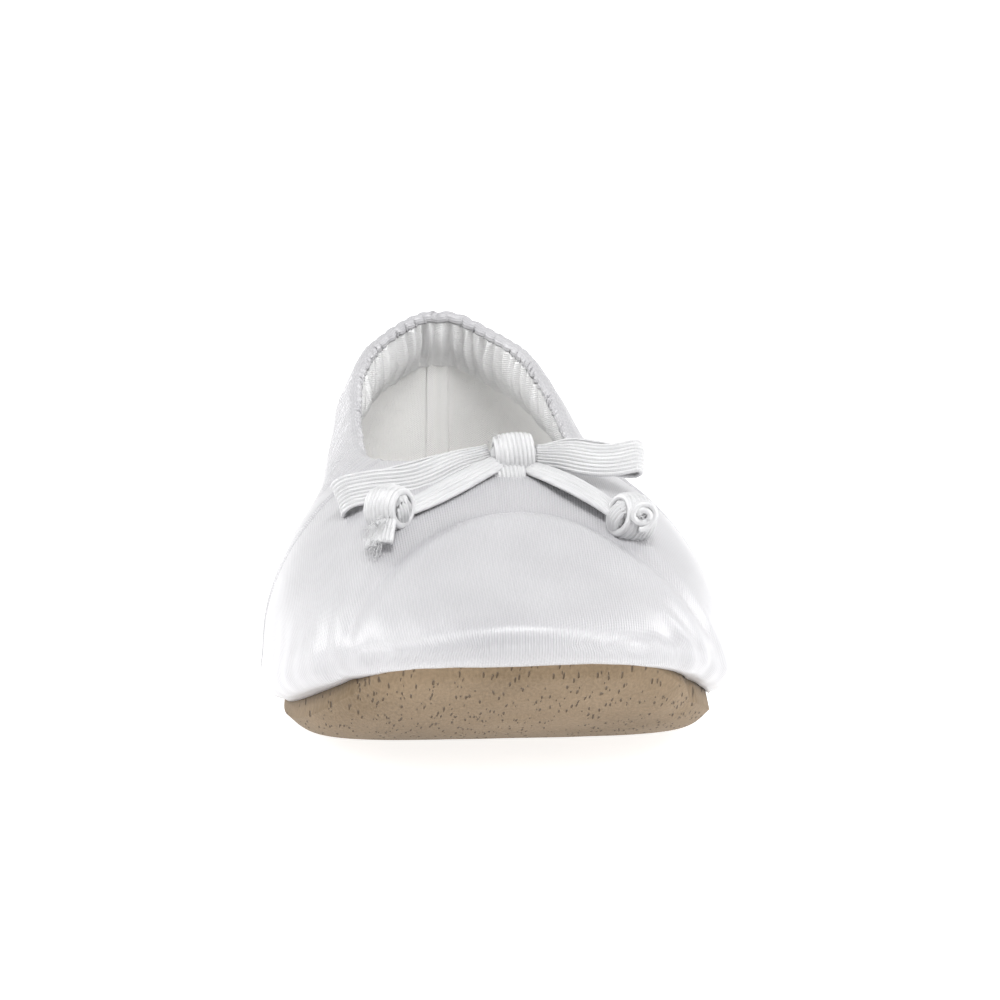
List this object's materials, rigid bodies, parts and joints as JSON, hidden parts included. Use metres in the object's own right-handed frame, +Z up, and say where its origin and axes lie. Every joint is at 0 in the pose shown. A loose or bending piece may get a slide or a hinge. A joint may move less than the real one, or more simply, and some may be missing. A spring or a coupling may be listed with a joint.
{
  "type": "ballet slipper",
  "caption": "Soft white satin ballet slipper with a suede sole curled up at the toe, an elastic gathered topline round the heel and a ribbon bow at the throat.",
  "frame": {"origin": "centre of the slipper on the floor, under the middle of its overall length and width", "axes": "+Z up from the floor, +Y from the toe towards the heel, +X to the right as seen from in front of the toe"},
  "size_m": [0.0924, 0.2401, 0.0618],
  "materials": {
    "suede": "brushed pigskin suede",
    "satin": "stretch satin with fine ribs",
    "lining": "brushed lining",
    "elastic": "woven elastic",
    "foam": "soft foam",
    "ribbon": "satin ribbon with corded ribs"
  },
  "bodies": {
    "rear": {"outsole_back": "suede", "quarter_left": "satin", "quarter_right": "satin", "quarter_lining_left": "lining", "quarter_lining_right": "lining", "back_seam_tape": "lining", "topline_facing": "satin", "topline_elastic": "elastic", "insole_foam_back": "foam", "heel_cushion": "foam", "insole_sock_back": "lining"},
    "forefoot": {"outsole_front": "suede", "vamp": "satin", "vamp_lining": "lining", "throat_hem": "satin", "insole_foam_front": "foam", "insole_sock_front": "lining", "bow_knot": "ribbon"},
    "loop_left": {"bow_loop_left": "ribbon"},
    "loop_right": {"bow_loop_right": "ribbon"},
    "tail_left": {"bow_tail_left": "ribbon"},
    "tail_right": {"bow_tail_right": "ribbon"}
  },
  "joints": [
    {"name": "forefoot_flex", "type": "hinge", "parent": "rear", "child": "forefoot", "pos_m": [0, 0, 0.0062], "axis": [-1, 0, 0], "range_deg": [0, 30], "stiffness_Nm_per_rad": 0.15, "deforming": ["quarter_left", "quarter_right", "quarter_lining_left", "quarter_lining_right", "topline_facing", "topline_elastic"]},
    {"name": "loop_left_lift", "type": "hinge", "parent": "forefoot", "child": "loop_left", "pos_m": [-0.0012, -0.042, 0.0573], "axis": [0, 1, 0], "range_deg": [0, 45]},
    {"name": "loop_right_lift", "type": "hinge", "parent": "forefoot", "child": "loop_right", "pos_m": [0.0099, -0.042, 0.0573], "axis": [0, -1, 0], "range_deg": [0, 45]},
    {"name": "tail_left_lift", "type": "hinge", "parent": "forefoot", "child": "tail_left", "pos_m": [-0.001, -0.0475, 0.0535], "axis": [-0.617, 0.787, 0], "range_deg": [0, 50]},
    {"name": "tail_right_lift", "type": "hinge", "parent": "forefoot", "child": "tail_right", "pos_m": [0.0085, -0.048, 0.0535], "axis": [-0.6628, -0.7488, 0], "range_deg": [0, 50]}
  ]
}
